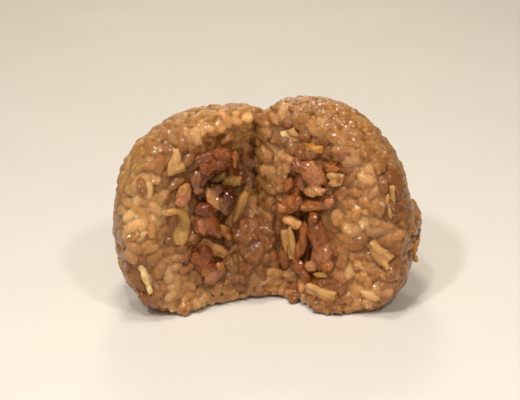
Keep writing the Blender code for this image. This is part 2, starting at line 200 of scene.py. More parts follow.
# ---------------------------------------------------------------------------------------------
# The rice's core: the sticky mass under the grains, pressed together and soaked brown. It is the
# outline of the rice and its filling, drawn in by a quarter of a grain, so that grains cover it.
# A small ledge of the solids, at waist height on the skin, is evened out first. Where the rice
# tore, cracks, hollows and ridges are added: each has its place across and up, half its size, and
# how far it stands towards the viewer, in millimetres. One flake of leek stands free of the core.
CORE_VOXEL = 1.1 * MM
CORE_EVENED = 14
CORE_SINK = 0.9 * MM
WAIST_REACH = 9.0 * MM
WAIST_EDGE = 0.5
WAIST_EVENED = 100
MERGED = 0.01 * MM
FREE_FLAKE = "leek_flake_right"
TORN_FACING = 0.2
TORN_FORMS = {
    "crack along the spine": ((-2.8, 46), (1.7, 19), -4.2),
    "hollow beside it": ((-8.0, 45), (6.0, 15), -3.0),
    "ridge beside it": ((3.2, 50), (4.2, 19), 2.6),
    "bed of the left filling": ((-17.0, 34), (7.5, 21), -2.2),
    "bed of the right filling": ((12.5, 30), (5.0, 19), -1.8),
    "crack right of the clump": ((3.2, 20), (1.4, 9), -3.5),
    "clump": ((-6.0, 17), (7.0, 10), 1.2),
    "gap under the dark pork": ((-18.5, 40), (3.0, 4), -3.0),
    "gap over the pork's heart": ((-14.7, 34), (2.5, 3), -2.5),
    "gap beside the red pork": ((18.3, 44.7), (2.5, 1.6), -2.5),
    "gap beside the long pork": ((11.6, 14), (1.6, 7), -2.5),
}


def select_only(*things):
    bpy.ops.object.select_all(action="DESELECT")
    for thing in things:
        thing.select_set(True)
    bpy.context.view_layer.objects.active = things[0]


def twin_of(thing):
    """A copy of an object, with its own mesh."""
    twin = thing.copy()
    twin.data = thing.data.copy()
    bpy.context.scene.collection.objects.link(twin)
    return twin


def copy_of(name, *nodes):
    """One merged mesh made of copies of CAD nodes, whose own triangles are loose."""
    copies = [twin_of(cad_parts[node]) for node in nodes]
    for piece in copies:
        piece.parent = None
    select_only(*copies)
    if len(copies) > 1:
        bpy.ops.object.join()
    piece = bpy.context.object
    piece.name = name
    for key in list(piece.keys()):
        del piece[key]
    piece.data.materials.clear()
    bpy.ops.object.mode_set(mode="EDIT")
    bpy.ops.mesh.select_all(action="SELECT")
    bpy.ops.mesh.remove_doubles(threshold=MERGED)
    bpy.ops.object.mode_set(mode="OBJECT")
    return piece


def modify(piece, kind, **settings):
    """Adds a modifier and applies it."""
    select_only(piece)
    modifier = piece.modifiers.new(kind.lower(), kind)
    for name, value in settings.items():
        setattr(modifier, name, value)
    bpy.ops.object.modifier_apply(modifier=modifier.name)


def even_out(piece, times, **settings):
    """Smooths a piece this many times over."""
    modify(piece, "SMOOTH", factor=0.5, iterations=times, **settings)


def tree_of(thing):
    return BVHTree.FromPolygons([vertex.co for vertex in thing.data.vertices],
                                [face.vertices[:] for face in thing.data.polygons])


def values_of(items, name, width):
    """One attribute of all of a mesh's points or faces, a row for each."""
    values = np.empty(len(items) * width, np.float32)
    items.foreach_get(name, values)
    return values.reshape(-1, width).astype(float)


core = copy_of("rice_core", *(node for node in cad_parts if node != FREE_FLAKE))
modify(core, "REMESH", mode="VOXEL", voxel_size=CORE_VOXEL)
waist = core.vertex_groups.new(name="waist")
for vertex in core.data.vertices:
    on_skin = min(1.0, max(0.0, 1.0 + vertex.normal.y / WAIST_EDGE))
    near_waist = math.exp(-((vertex.co.z - WAIST) / WAIST_REACH) ** 2)
    waist.add([vertex.index], on_skin * near_waist, "REPLACE")
even_out(core, WAIST_EVENED, vertex_group="waist")
even_out(core, CORE_EVENED)
modify(core, "DISPLACE", strength=-CORE_SINK, mid_level=0.0)
for vertex in core.data.vertices:
    if vertex.normal.y < -TORN_FACING:
        across, up = vertex.co.x / MM, vertex.co.z / MM
        for place, size, height in TORN_FORMS.values():
            away = ((across - place[0]) / size[0]) ** 2 + ((up - place[1]) / size[1]) ** 2
            vertex.co.y -= height * MM * math.exp(-away ** 2)
core_tree = tree_of(core)

filling = [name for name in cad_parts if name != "rice"]
whole_filling = copy_of("whole_filling", *filling)
filling_tree = tree_of(whole_filling)
bpy.data.objects.remove(whole_filling, do_unlink=True)


def out_of_filling(place):
    """How far a place is outside the filling, less than 0 inside, and the way out."""
    found, normal, _, distance = filling_tree.find_nearest(Vector(place))
    inside = (Vector(place) - found).dot(normal) < 0.0
    return (-distance if inside else distance), normal[:]


# ---------------------------------------------------------------------------------------------
# One cooked grain of glutinous rice: a plump spindle, blunt at the germ end, slightly bent. It
# is made in three bends, and copied all over the core.
GRAIN = Vector((6.4, 3.50, 3.05)) * MM
GRAIN_BENDS = (6.0, 16.0, 28.0)
GRAIN_SIDES = 10
GRAIN_RINGS = 8
BLUNTNESS = 0.10
GRAIN_FULLNESS = 2.6
GRAIN_TAPER = 0.42
GRAIN_TIP = 0.01


def cooked_grain(bend):
    """A grain of length, width and height 1 along X, Y and Z, as arrays of points and triangles."""
    bpy.ops.mesh.primitive_uv_sphere_add(segments=GRAIN_SIDES, ring_count=GRAIN_RINGS, radius=0.5,
                                         rotation=(0.0, math.pi / 2.0, 0.0))
    grain = bpy.context.object
    bpy.ops.object.transform_apply(location=False, rotation=True, scale=False)
    edit = bmesh.new()
    edit.from_mesh(grain.data)
    for vertex in edit.verts:
        share = vertex.co.x * 2.0
        round_width = math.sqrt(max(0.0, 1.0 - share * share))
        if round_width > GRAIN_TIP:
            full_width = (1.0 - abs(share) ** GRAIN_FULLNESS) ** GRAIN_TAPER
            plump = full_width / round_width * (1.0 + BLUNTNESS * share)
            vertex.co.y *= plump
            vertex.co.z *= plump
    bmesh.ops.triangulate(edit, faces=edit.faces)
    edit.to_mesh(grain.data)
    edit.free()
    modify(grain, "SIMPLE_DEFORM", deform_method="BEND", deform_axis="Z", angle=math.radians(bend))
    points = values_of(grain.data.vertices, "co", 3)
    points -= (points.min(axis=0) + points.max(axis=0)) / 2.0
    points /= np.ptp(points, axis=0)
    faces = np.array([face.vertices[:] for face in grain.data.polygons])
    bpy.data.objects.remove(grain, do_unlink=True)
    return points, faces


grain_shapes = [cooked_grain(bend) for bend in GRAIN_BENDS]

# ---------------------------------------------------------------------------------------------
# How the grains lie, in two layers on the core: a lower one that shows in the gaps, and the one
# on top, strewn evenly and then pushed apart until it packs. On the pressed skin they lie flat
# and crushed together. On the torn faces they were pulled apart, so they lie loose and tilted.
# A grain's height, its usual tilt and how far its top is out of the core at most are given as a
# pair each: the value on the skin, and what the loosest grain adds to it. Lifts are in millimetres.
TOP_SPACING = 2.80 * MM
UNDER_SPACING = 3.00 * MM
UNDER_SINK = 1.10 * MM
TRIES = 9.0
PACKING_STEPS = 24
STEPS_WITH_SAME_NEIGHBOURS = 4
NEIGHBOUR_REACH = 2.0 * GRAIN.x
CROWDING = 0.92
SHOVE = 0.25
FILLING_SHOVE = 0.4
MOST_PUSH = 0.6 * MM
TURNING = 4.0
UPRIGHT = 0.5
HAIRBREADTH = 0.001 * MM
BALLS = np.array((-0.31, 0.0, 0.31)) * GRAIN.x
CLEAR_OF_FILLING = 0.24 * GRAIN.y
BURIED = 0.05 * GRAIN.y
FLOOR_GAP = 0.1 * MM
LOOSE_FACING = (0.35, 0.70)
GRAIN_SIZES = (0.84, 1.12)
HEIGHT = (0.84, 0.16)
TILT = (0.07, 0.46)
MOST_TILT = 1.3
LEAST_LIFT = 1.60
MOST_LIFT = (1.85, 0.60)
rng = np.random.default_rng(SEED)


def strewn(thing, spacing):
    """Places spread over a mesh, no two nearer than the spacing."""
    thing.data.calc_loop_triangles()
    corners = np.array([[thing.data.vertices[i].co[:] for i in face.vertices]
                        for face in thing.data.loop_triangles])
    edges = corners[:, 1:] - corners[:, :1]
    areas = np.linalg.norm(np.cross(edges[:, 0], edges[:, 1]), axis=1) / 2.0
    tries = int(TRIES * areas.sum() / spacing ** 2)
    picked = rng.choice(len(areas), size=tries, p=areas / areas.sum())
    points = np.einsum("ij,ijk->ik", rng.dirichlet((1.0, 1.0, 1.0), size=tries), corners[picked])
    cells, kept = {}, []
    for number, point in enumerate(points):
        x, y, z = np.floor(point / spacing).astype(int)
        near = [other for dx in (-1, 0, 1) for dy in (-1, 0, 1) for dz in (-1, 0, 1)
                for other in cells.get((x + dx, y + dy, z + dz), ())]
        if not near or (np.linalg.norm(points[near] - point, axis=1) >= spacing).all():
            cells.setdefault((x, y, z), []).append(number)
            kept.append(number)
    return points[kept]


def on_core(points):
    """The core's nearest places and their normals."""
    found = [core_tree.find_nearest(Vector(point)) for point in points]
    return np.array([hit[0][:] for hit in found]), np.array([hit[1][:] for hit in found])


def flat_on(normals, ways):
    """Directions laid into the surface, each of length 1."""
    laid = ways - normals * np.sum(ways * normals, axis=1, keepdims=True)
    return laid / np.maximum(np.linalg.norm(laid, axis=1, keepdims=True), 1e-9)


def packed(places, ways, normals):
    """Pushes grains apart along the core, each as three balls in a row, and out of the filling."""
    for step in range(PACKING_STEPS):
        if step % STEPS_WITH_SAME_NEIGHBOURS == 0:
            beside_filling = [n for n, place in enumerate(places) if out_of_filling(place)[0] < GRAIN.x]
            tree = KDTree(len(places))
            for number, place in enumerate(places):
                tree.insert(place, number)
            tree.balance()
            first, second = np.array([(number, other) for number, place in enumerate(places)
                                      for _, other, _ in tree.find_range(place, NEIGHBOUR_REACH)
                                      if other > number]).T
        balls = places[:, None, :] + ways[:, None, :] * BALLS[None, :, None]
        push = np.zeros_like(places)
        turn = np.zeros_like(places)
        for i in range(len(BALLS)):
            for j in range(len(BALLS)):
                apart = balls[first, i] - balls[second, j]
                distance = np.linalg.norm(apart, axis=1)
                squeeze = np.clip(CROWDING * GRAIN.y - distance, 0.0, None)
                shove = apart / np.maximum(distance, HAIRBREADTH)[:, None] * squeeze[:, None] * SHOVE
                np.add.at(push, first, shove)
                np.add.at(push, second, -shove)
                np.add.at(turn, first, shove * BALLS[i])
                np.add.at(turn, second, -shove * BALLS[j])
        for number in beside_filling:
            for ball in balls[number]:
                gap, way_out = out_of_filling(ball)
                if gap < CLEAR_OF_FILLING:
                    push[number] += np.array(way_out) * (CLEAR_OF_FILLING - gap) * FILLING_SHOVE
        places, normals = on_core(places + np.clip(push, -MOST_PUSH, MOST_PUSH))
        ways = flat_on(normals, ways + turn * TURNING / GRAIN.x ** 2)
    return places, ways, normals


def layer(spacing):
    """One layer of grains: their places, the ways they point and the surface's normals."""
    places = strewn(core, spacing)
    _, normals = on_core(places)
    ways = rng.normal(size=places.shape) + (0.0, 0.0, UPRIGHT)
    return packed(places, flat_on(normals, ways), normals)


top_layer = layer(TOP_SPACING)
under_layer = layer(UNDER_SPACING)
places, ways, normals = (np.concatenate(both) for both in zip(top_layer, under_layer))
is_under = np.arange(len(places)) >= len(top_layer[0])

# Which ones lie on the left half, and how loose they are: 1 on a torn face, 0 on the skin.
torn_ways = [-np.array(half_frame(side)[1]) for side in SIDES]
on_left = in_half("left", places)[:, 0] > in_half("right", places)[:, 0]
facing = np.where(on_left, normals @ torn_ways[0], normals @ torn_ways[1])
looseness = np.clip((facing - LOOSE_FACING[0]) / (LOOSE_FACING[1] - LOOSE_FACING[0]), 0.0, 1.0)
gap_to_filling = np.array([out_of_filling(place)[0] for place in places])
kept = gap_to_filling > BURIED


def heap_of(name, chosen):
    """One mesh of the chosen grains, and the number of the grain that each triangle is of."""
    points, faces, owners = [], [], []
    total = 0
    for number in chosen:
        loose = looseness[number]
        size = np.array(GRAIN) * rng.uniform(*GRAIN_SIZES, 3) * (1.0, 1.0, HEIGHT[0] + HEIGHT[1] * loose)
        tilt = np.clip(rng.normal(0.0, TILT[0] + TILT[1] * loose), -MOST_TILT, MOST_TILT)
        stands = (abs(math.sin(tilt)) * size[0] + math.cos(tilt) * size[2]) / 2.0
        lift = rng.uniform(LEAST_LIFT, MOST_LIFT[0] + MOST_LIFT[1] * loose) * MM
        lift = lift - stands - UNDER_SINK * is_under[number]
        way = ways[number] * math.cos(tilt) + normals[number] * math.sin(tilt)
        out = normals[number] * math.cos(tilt) - ways[number] * math.sin(tilt)
        shape, triangles = grain_shapes[rng.integers(len(grain_shapes))]
        turn = np.stack((way * size[0], np.cross(out, way) * size[1], out * size[2]))
        grain = places[number] + normals[number] * lift + shape @ turn
        grain[:, 2] += max(0.0, FLOOR_GAP - grain[:, 2].min())
        points.append(grain)
        faces.append(triangles + total)
        owners += [number] * len(triangles)
        total += len(shape)
    mesh = bpy.data.meshes.new(name)
    mesh.from_pydata(np.concatenate(points), [], np.concatenate(faces))
    thing = bpy.data.objects.new(name, mesh)
    bpy.context.scene.collection.objects.link(thing)
    return thing, np.array(owners)


# ---------------------------------------------------------------------------------------------
# The rice, in its two halves: the grains run together with the core and with each other, as
# sticky rice does once it is pressed by hand. It is browner near the filling, where sauce soaked
# in, and has painted shade, in the sauce's dark colour, in patches where it lies in shadow: each
# such patch has its place across and up and half its size, in millimetres, and how dark it is
# painted. Cracks are where the surface lies under its own evened form; they get painted shade too.
RICE_VOXEL = 0.28 * MM
RUN_TOGETHER = 2
CRUSHED_SIZE = 1.7 * MM
CRUSHED_DEPTH = 0.6 * MM
STARCH_SIZE = 0.75 * MM
STARCH_DEPTH = 0.34 * MM
RICE_TRIANGLES = 190000
SPINE_OVERLAP = 2.0 * MM
CRACKS_EVENED = 10
CRACK_DEPTH = 0.40 * MM
FILM_EVENED = 24
SAUCE_REACH = 6.5 * MM
SHADE_PATCH_FACING = 0.2
SHADE_PATCHES = {
    "clump": ((-4.5, 20), (11, 11), 1.6),
    "hollow": ((-8, 43), (7, 15), 1.0),
    "crack": ((-2.8, 46), (4, 15), 0.3),
}
grain_tone = rng.uniform(0.0, 1.0, len(places))
sauce_and_shade = np.exp(-np.clip(gap_to_filling, 0.0, None) / SAUCE_REACH)
# Painted shade: the clump, the hollow and the crack by the spine, which lie in shadow, are darkened as the
# sauce is where they face forwards.
for place, size, share in SHADE_PATCHES.values():
    across, up = (places[:, 0] / MM - place[0]) / size[0], (places[:, 2] / MM - place[1]) / size[1]
    soaked = share * (normals[:, 1] < SHADE_PATCH_FACING) * np.exp(-(across ** 2 + up ** 2))
    sauce_and_shade = np.maximum(sauce_and_shade, np.minimum(soaked, 1.0))


def keep_values(piece, name, kind, field, values):
    """Keeps a value at each of a mesh's points, for its material."""
    attribute = piece.data.attributes.new(name, kind, "POINT")
    attribute.data.foreach_set(field, values.astype(np.float32).ravel())


def lay_film(piece):
    """Keeps the ways that an even film over a piece faces. Returns how deep each point is under it."""
    evened = twin_of(piece)
    even_out(evened, CRACKS_EVENED)
    above = values_of(evened.data.vertices, "co", 3) - values_of(piece.data.vertices, "co", 3)
    even_out(evened, FILM_EVENED)
    keep_values(piece, "film", "FLOAT_VECTOR", "vector", values_of(evened.data.vertex_normals, "vector", 3))
    bpy.data.objects.remove(evened, do_unlink=True)
    return np.sum(above * values_of(piece.data.vertex_normals, "vector", 3), axis=1)


def cloud_relief(name, size):
    """A relief of soft lumps of one size."""
    relief = bpy.data.textures.new(name, "CLOUDS")
    relief.noise_scale = size
    return relief


crushing = cloud_relief("crushing", CRUSHED_SIZE)
starch = cloud_relief("starch", STARCH_SIZE)


def dressed_half(side):
    """The core and the grains of one half as one skin, with each grain's tone kept at its points."""
    heap, owners = heap_of("grains_" + side, np.flatnonzero(kept & (on_left == (side == "left"))))
    heap_tree = tree_of(heap)
    half = twin_of(core)
    half.name = "rice_" + side
    select_only(half)
    bpy.ops.object.mode_set(mode="EDIT")
    bpy.ops.mesh.select_all(action="SELECT")
    cut = SPINE_FOOT + Vector((SPINE_OVERLAP if side == "left" else -SPINE_OVERLAP, 0.0, 0.0))
    bpy.ops.mesh.bisect(plane_co=cut, plane_no=(1.0, 0.0, 0.0), use_fill=True,
                        clear_outer=side == "left", clear_inner=side == "right")
    bpy.ops.object.mode_set(mode="OBJECT")
    select_only(half, heap)
    bpy.ops.object.join()
    modify(half, "REMESH", mode="VOXEL", voxel_size=RICE_VOXEL)
    even_out(half, RUN_TOGETHER)
    for relief, depth in ((crushing, CRUSHED_DEPTH), (starch, STARCH_DEPTH)):
        modify(half, "DISPLACE", texture=relief, texture_coords="LOCAL", strength=depth, mid_level=0.5)
    modify(half, "DECIMATE", ratio=min(1.0, RICE_TRIANGLES / (2.0 * len(half.data.polygons))))
    # Painted shade: the deeper a point lies in a crack, the darker its colour is painted.
    crack_shade = np.clip(lay_film(half) / CRACK_DEPTH, -1.0, 1.0) * 0.5 + 0.5
    of_grain = np.array([owners[heap_tree.find_nearest(vertex.co)[2]] for vertex in half.data.vertices])
    values = np.stack((grain_tone[of_grain], crack_shade, sauce_and_shade[of_grain], np.ones(len(crack_shade))), axis=1)
    keep_values(half, "grain", "FLOAT_COLOR", "color", values)
    keep_values(half, "skin", "FLOAT", "value", 1.0 - looseness[of_grain])
    return half


# Cooked glutinous rice, stained by soy sauce and lard: translucent starch, which light goes into
# by a millimetre or two, wet enough for small sharp highlights, with painted shade, darker and
# redder, in the cracks and in the patches where it lies in shadow.
# Its pattern sizes are those of its stains, of its starchy mottles, of where it is wetter, and of
# the dimples in its skin.
RICE_TONES = ("#b98549", "#dab17a")
RICE_TONES_BETWEEN = ((0.35, "#c08c50"), (0.7, "#c9985c"))
RICE_STAIN = 14.0 * MM
RICE_MOTTLE = 2.0 * MM
RICE_WETTER = 1.1 * MM
RICE_DIMPLE = 0.9 * MM
RICE_FILM = 0.75 * MM
FILM_TILT = 0.5
TINTED = {"data_type": "RGBA", "blend_type": "MULTIPLY"}
WORLD_NORMAL = {"vector_type": "NORMAL", "convert_from": "OBJECT", "convert_to": "WORLD"}


def film_way(material, place, patch_size):
    """The way the wet film faces: it stands in small flat patches, each with a tilt of its own."""
    film = add_node(material, "ShaderNodeAttribute", {"attribute_name": "film"}).outputs["Vector"]
    turned = add_node(material, "ShaderNodeVectorTransform", WORLD_NORMAL, Vector=film).outputs[0]
    patch = add_node(material, "ShaderNodeTexVoronoi", Vector=place, Scale=1.0 / patch_size)
    tilt = add_node(material, "ShaderNodeVectorMath", {"operation": "MULTIPLY_ADD"},
                    _0=patch.outputs["Color"], _1=[2.0 * FILM_TILT] * 3, _2=[-FILM_TILT] * 3).outputs[0]
    tilted = add_node(material, "ShaderNodeVectorMath", {"operation": "ADD"}, _0=turned, _1=tilt)
    faced = add_node(material, "ShaderNodeVectorMath", {"operation": "NORMALIZE"}, _0=tilted.outputs[0])
    return faced.outputs[0]


soy_rice, shader = new_material("soy_seasoned_rice")
place = add_node(soy_rice, "ShaderNodeTexCoord").outputs["Object"]
grain_data = add_node(soy_rice, "ShaderNodeAttribute", {"attribute_name": "grain"}).outputs["Color"]
tone, crack, sauce_and_shade_share = add_node(soy_rice, "ShaderNodeSeparateColor", Color=grain_data).outputs
tones = add_node(soy_rice, "ShaderNodeValToRGB", Fac=tone)
for element, colour in zip(tones.color_ramp.elements, RICE_TONES):
    element.color = linear(colour)
for position, colour in RICE_TONES_BETWEEN:
    tones.color_ramp.elements.new(position).color = linear(colour)
stains = add_node(soy_rice, "ShaderNodeTexNoise", Vector=place, Scale=1.0 / RICE_STAIN, Detail=3.0)
stained = add_node(soy_rice, "ShaderNodeMapRange", Value=stains.outputs["Fac"], _1=0.42, _2=0.68, _4=0.45)
colour = add_node(soy_rice, "ShaderNodeMix", TINTED, _0=stained.outputs[0], _6=tones.outputs["Color"],
                  _7=linear("#d9a77c")).outputs[2]
pressed = add_node(soy_rice, "ShaderNodeAttribute", {"attribute_name": "skin"}).outputs["Fac"]
colour = add_node(soy_rice, "ShaderNodeMix", TINTED, _0=pressed, _6=colour, _7=linear("#cabfa4")).outputs[2]
mottles = add_node(soy_rice, "ShaderNodeTexNoise", Vector=place, Scale=1.0 / RICE_MOTTLE, Detail=4.0,
                   Roughness=0.6)
mottled = add_node(soy_rice, "ShaderNodeMapRange", Value=mottles.outputs["Fac"], _1=0.45, _2=0.70, _4=0.30)
colour = add_node(soy_rice, "ShaderNodeMix", BLENDED, _0=mottled.outputs[0], _6=colour,
                  _7=linear("#dcb888")).outputs[2]
# The sauce's dark colour, which also paints the shade in the shadowed patches.
soaked = add_node(soy_rice, "ShaderNodeMapRange", Value=sauce_and_shade_share, _1=0.15, _2=0.90, _4=0.85)
colour = add_node(soy_rice, "ShaderNodeMix", BLENDED, _0=soaked.outputs[0], _6=colour,
                  _7=linear("#703a10")).outputs[2]
# Painted shade in the cracks between grains, the deeper ones darker and redder.
crack_shade_share = add_node(soy_rice, "ShaderNodeMapRange", Value=crack, _1=0.60, _2=0.92, _4=0.60)
colour = add_node(soy_rice, "ShaderNodeMix", BLENDED, _0=crack_shade_share.outputs[0], _6=colour,
                  _7=linear("#8a4814")).outputs[2]
wetter = add_node(soy_rice, "ShaderNodeTexNoise", Vector=place, Scale=1.0 / RICE_WETTER, Detail=2.0)
gloss = add_node(soy_rice, "ShaderNodeMapRange", Value=wetter.outputs["Fac"], _1=0.35, _2=0.7, _3=0.14,
                 _4=0.36)
dimples = add_node(soy_rice, "ShaderNodeTexNoise", Vector=place, Scale=1.0 / RICE_DIMPLE, Detail=3.0)
dimpled = add_node(soy_rice, "ShaderNodeBump", Strength=0.8, Distance=0.25 * MM,
                   Height=dimples.outputs["Fac"])
wire(soy_rice, shader, Base_Color=colour, Roughness=gloss.outputs[0], Normal=dimpled.outputs[0],
     IOR=1.38, Specular_IOR_Level=0.12, Subsurface_Weight=0.9, Subsurface_Radius=(1.0, 0.50, 0.20),
     Subsurface_Scale=2.6 * MM, Coat_Weight=0.85, Coat_Roughness=0.12, Coat_IOR=1.42,
     Coat_Normal=film_way(soy_rice, place, RICE_FILM))


def finish(piece, node, material):
    """Gives a piece its material and smooth shading, hides the solid that it stands for, and hangs it on
    the root.
    """
    piece.data.shade_smooth()
    piece.data.materials.append(material)
    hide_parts(node)
    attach(piece, "root")


for side in SIDES:
    finish(dressed_half(side), "rice", soy_rice)
bpy.data.objects.remove(core, do_unlink=True)

# ---------------------------------------------------------------------------------------------
# Stewed pork: small cubes and shreds of lean meat, some with fat or rind. They were cut, browned
# and stewed until they fell into lobes, so their fibres part and sauce and fat wet them. Each
# lobe has its place from the piece's middle, to the right and up, half its length and width in
# millimetres, its turn from level in degrees, and its kind of meat. Strands have their depth and
# width in millimetres, and how much longer than wide they are.
MEAT = {
    "dark": "#521c06",
    "browned": "#6e3410",
    "lean": "#8b4b19",
    "amber": "#aa662c",
    "rosy": "#ac7046",
    "greyed": "#8a5a3c",
    "tan": "#c08a54",
    "fat": "#d89c5c",
    "rind": "#f0b474",
}
PORK = {
    "pork_top_left": (
        (-3.6, -1.5, 2.9, 1.8, -8, "lean"), (0.5, -1.1, 2.8, 2.0, 0, "browned"),
        (2.2, 1.8, 3.6, 2.8, -35, "lean"), (5.6, 0.3, 3.2, 0.9, 85, "amber")),
    "pork_pale_left": (
        (-1.7, 0.9, 3.4, 2.3, 75, "greyed"), (2.0, 3.4, 2.0, 1.8, 30, "browned"),
        (-1.4, -2.4, 1.8, 1.4, 0, "greyed")),
    "pork_knob_left": (
        (0.8, -0.2, 3.2, 2.7, 80, "rosy"), (0.8, 1.6, 2.4, 2.0, 60, "tan"),
        (-0.2, -2.0, 2.6, 2.0, 0, "rosy")),
    "pork_middle_left": (
        (-2.7, 0.6, 4.6, 2.2, -62, "tan"), (1.9, -0.7, 4.9, 3.2, 80, "dark"),
        (-0.8, 4.0, 2.2, 1.6, 20, "dark")),
    "pork_heart_left": (
        (0.5, 3.9, 4.5, 2.3, -12, "browned"), (2.2, -2.0, 5.2, 2.6, -65, "lean"),
        (-1.5, -1.6, 3.2, 1.6, -75, "rosy")),
    "pork_dark_left": (
        (1.4, 3.6, 2.8, 2.0, -50, "browned"), (1.0, 0.0, 3.6, 2.8, -40, "lean"),
        (3.2, -2.2, 2.4, 1.6, -30, "browned"), (1.2, -3.2, 2.4, 1.5, 20, "amber")),
    "pork_finger_left": (
        (0.0, 0.3, 4.6, 1.8, 42, "rosy"), (-1.0, 1.1, 3.8, 1.2, 44, "tan"),
        (1.1, -0.9, 3.8, 1.2, 42, "lean")),
    "pork_top_right": (
        (0.7, 0.5, 5.0, 3.8, -30, "rosy"), (-3.0, 3.0, 2.8, 2.0, -60, "lean"),
        (1.7, -5.0, 4.0, 1.9, 10, "tan"), (-2.7, -3.0, 2.4, 1.6, -60, "browned")),
    "pork_speck_right": (
        (0.0, -1.5, 3.0, 1.2, 10, "amber"), (-2.2, -0.6, 1.4, 1.1, 0, "lean")),
    "pork_red_right": (
        (0.3, 5.4, 3.0, 1.5, 65, "amber"), (0.7, -1.3, 3.8, 3.0, 40, "amber"),
        (-2.4, -3.5, 2.4, 1.9, 20, "amber"), (3.0, -0.6, 2.6, 1.8, 80, "lean")),
    "pork_amber_right": (
        (-1.0, -1.1, 4.2, 2.4, 10, "amber"), (3.4, 0.4, 3.0, 1.6, 35, "rosy"),
        (-4.0, -2.2, 2.0, 1.7, 0, "amber")),
    "pork_fat_right": (
        (-0.8, 0.9, 3.2, 2.0, -20, "rind"), (1.2, 0.2, 2.4, 1.7, 40, "rind")),
    "pork_long_right": (
        (-2.0, 9.0, 2.8, 1.8, 75, "lean"), (-0.8, 2.6, 5.0, 3.2, -75, "lean"),
        (0.4, -4.2, 5.2, 3.8, 50, "rosy"), (2.4, -7.2, 2.6, 2.0, 60, "amber"),
        (-2.7, -7.9, 2.2, 1.8, 0, "tan")),
    "pork_thin_right": (
        (0.2, 6.2, 4.4, 1.7, 80, "amber"), (-1.9, -1.1, 4.6, 1.5, 80, "amber"),
        (0.0, 1.5, 4.0, 1.5, 75, "lean")),
    "pork_foot_right": (
        (-0.5, 4.6, 3.2, 2.2, -55, "lean"), (1.5, 1.7, 3.0, 2.0, -60, "lean"),
        (0.8, -2.0, 2.4, 1.6, 80, "fat")),
}
PORK_VOXEL = 0.30 * MM
PORK_STRANDS = ((0.9, 2.2, 1.4), (0.5, 0.8, 2.4))
PORK_FIBRE = 0.75 * MM
PORK_STAIN = 4.0 * MM
PORK_WETTER = 2.0 * MM
PORK_FILM = 0.95 * MM
SOLID_EVENED = 2
LOBES_EVENED = 3
LOBE_BUMPS = 1.6
LOBE_DEPTH_SHARE = 0.85
LOBE_REACH = 0.35
LOBE_BORDER = 0.5 * MM
BORDER_WAVE = 1.3 * MM


def long_frame(points):
    """The middle of points and their three ways, the longest first, as the rows of a turn."""
    centre = points.mean(axis=0)
    axes = np.linalg.svd(points - centre, full_matrices=False)[2]
    signs = np.sign(axes[np.arange(3), np.abs(axes).argmax(axis=1)])
    axes = axes * signs[:, None]
    axes[2] = np.cross(axes[0], axes[1])
    return centre, axes


def raise_strands(piece, depth, width, stretch):
    """Raises and sinks the surface in strands that run along the piece. Sizes are in millimetres."""
    centre, axes = long_frame(values_of(piece.data.vertices, "co", 3))
    bpy.ops.object.empty_add()
    guide = bpy.context.object
    guide.matrix_world = (Matrix.Translation(centre) @ Matrix(axes.T).to_4x4()
                          @ Matrix.Diagonal((width * MM * stretch, width * MM, width * MM, 1.0)))
    bpy.context.view_layer.update()
    modify(piece, "DISPLACE", texture=cloud_relief("strands", 1.0), texture_coords="OBJECT",
           texture_coords_object=guide, strength=depth * MM, mid_level=0.5)
    bpy.data.objects.remove(guide, do_unlink=True)


def face_turn(side):
    """A torn face's own ways as the columns of a turn: to the right, up, and out of the rice."""
    across, back = half_frame(side)
    if side == "left":
        across = -across
    return Matrix((across, (0.0, 0.0, 1.0), -back)).transposed()


def lobe_places(node, lobes, stands_out):
    """A matrix for each lobe of a piece, which turns a ball of radius 1 into the lobe."""
    turn = face_turn("left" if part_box(node)[1][0] < 0.0 else "right")
    lowest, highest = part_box(node)
    middle = (Vector(lowest) + Vector(highest)) / 2.0
    outermost = max((vertex.co - middle).dot(turn.col[2])
                    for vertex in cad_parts[node].data.vertices)
    places = []
    for right, up, half_length, half_width, angle, _ in lobes:
        half_depth = half_width * LOBE_DEPTH_SHARE * MM
        place = middle + turn @ Vector((right * MM / turn.col[0].x, up * MM,
                                        outermost + stands_out * MM - half_depth))
        places.append(Matrix.Translation(place) @ turn.to_4x4()
                      @ Matrix.Rotation(math.radians(angle), 4, "Z")
                      @ Matrix.Diagonal((half_length * MM, half_width * MM, half_depth, 1.0)))
    return places


def lobed_piece(node, places, voxel, swollen, roughness):
    """The node's solid, swollen or shrunk, with the lobes that stand out of it as one skin."""
    piece = copy_of("cooked_" + node, node)
    modify(piece, "REMESH", mode="VOXEL", voxel_size=2.0 * voxel)
    even_out(piece, SOLID_EVENED)
    modify(piece, "DISPLACE", strength=swollen * MM, mid_level=0.0)
    balls = []
    for place in places:
        bpy.ops.mesh.primitive_ico_sphere_add(subdivisions=2, radius=1.0)
        ball = bpy.context.object
        for vertex in ball.data.vertices:
            vertex.co *= 1.0 + roughness * noise.noise(vertex.co * LOBE_BUMPS + place.translation / MM)
        ball.data.transform(place)
        balls.append(ball)
    select_only(piece, *balls)
    bpy.ops.object.join()
    modify(piece, "REMESH", mode="VOXEL", voxel_size=voxel)
    even_out(piece, LOBES_EVENED)
    return piece


def write_fibres(piece):
    """Keeps each point's place along and across the piece's fibres."""
    points = values_of(piece.data.vertices, "co", 3)
    centre, axes = long_frame(points)
    keep_values(piece, "fibre", "FLOAT_VECTOR", "vector", (points - centre) @ axes.T)


